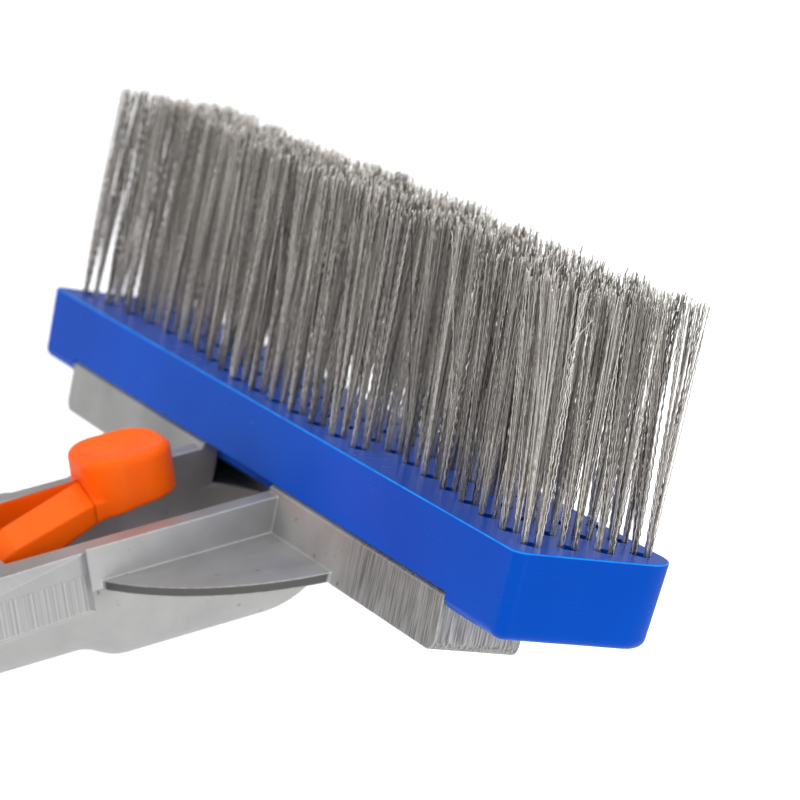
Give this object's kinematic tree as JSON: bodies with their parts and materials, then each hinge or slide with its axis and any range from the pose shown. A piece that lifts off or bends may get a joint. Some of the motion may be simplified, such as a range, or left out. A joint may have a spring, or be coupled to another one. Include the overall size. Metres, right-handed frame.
{
  "type": "pool wall brush",
  "caption": "Straight pool wall brush: steel wire tufts in a blue block on a cast aluminium back, with a tilted spigot for a pole and a squeeze clip that locks it.",
  "frame": {"origin": "on the spigot's axis, at the shoulder where its cylinder leaves the collar", "axes": "+X along the block, +Z along the bristles, the handle leaves towards -Y and tilts down 20.4 degrees"},
  "size_m": [0.254, 0.1877, 0.1472],
  "materials": {
    "block_plastic": "glossy moulded",
    "cast_aluminium": "as cast, with turned and sawn faces",
    "clip_plastic": "satin moulded",
    "bristle_wire": "crimped drawn wire",
    "staple_wire": "flat wire",
    "screw_steel": "plated"
  },
  "bodies": {
    "brush": {"brush_block": "block_plastic", "back_casting": "cast_aluminium", "clip_thumb_tab": "clip_plastic", "anchor_staples": "staple_wire", "block_screws": "screw_steel", "tuft_column_01": "bristle_wire", "tuft_column_02": "bristle_wire", "tuft_column_03": "bristle_wire", "tuft_column_04": "bristle_wire", "tuft_column_05": "bristle_wire", "tuft_column_06": "bristle_wire", "tuft_column_07": "bristle_wire", "tuft_column_08": "bristle_wire", "tuft_column_09": "bristle_wire", "tuft_column_10": "bristle_wire", "tuft_column_11": "bristle_wire", "tuft_column_12": "bristle_wire", "tuft_column_13": "bristle_wire", "tuft_column_14": "bristle_wire", "tuft_column_15": "bristle_wire", "tuft_column_16": "bristle_wire", "tuft_column_17": "bristle_wire", "tuft_column_18": "bristle_wire", "tuft_column_19": "bristle_wire", "tuft_column_20": "bristle_wire", "tuft_column_21": "bristle_wire", "tuft_column_22": "bristle_wire", "tuft_column_23": "bristle_wire"},
    "right_leg": {"clip_leg_right": "clip_plastic"},
    "left_leg": {"clip_leg_left": "clip_plastic"}
  },
  "joints": [
    {"name": "right_leg_squeeze", "type": "hinge", "parent": "brush", "child": "right_leg", "pos_m": [0.0021, 0.03836, 0.02739], "axis": [0, 0.3486, -0.9373], "range_deg": [0, 3.2]},
    {"name": "left_leg_squeeze", "type": "hinge", "parent": "brush", "child": "left_leg", "pos_m": [-0.0021, 0.03836, 0.02739], "axis": [0, -0.3486, 0.9373], "range_deg": [0, 3.2]}
  ],
  "couplings": [
    {"joint": "left_leg_squeeze", "follows": "right_leg_squeeze", "ratio": 1}
  ]
}
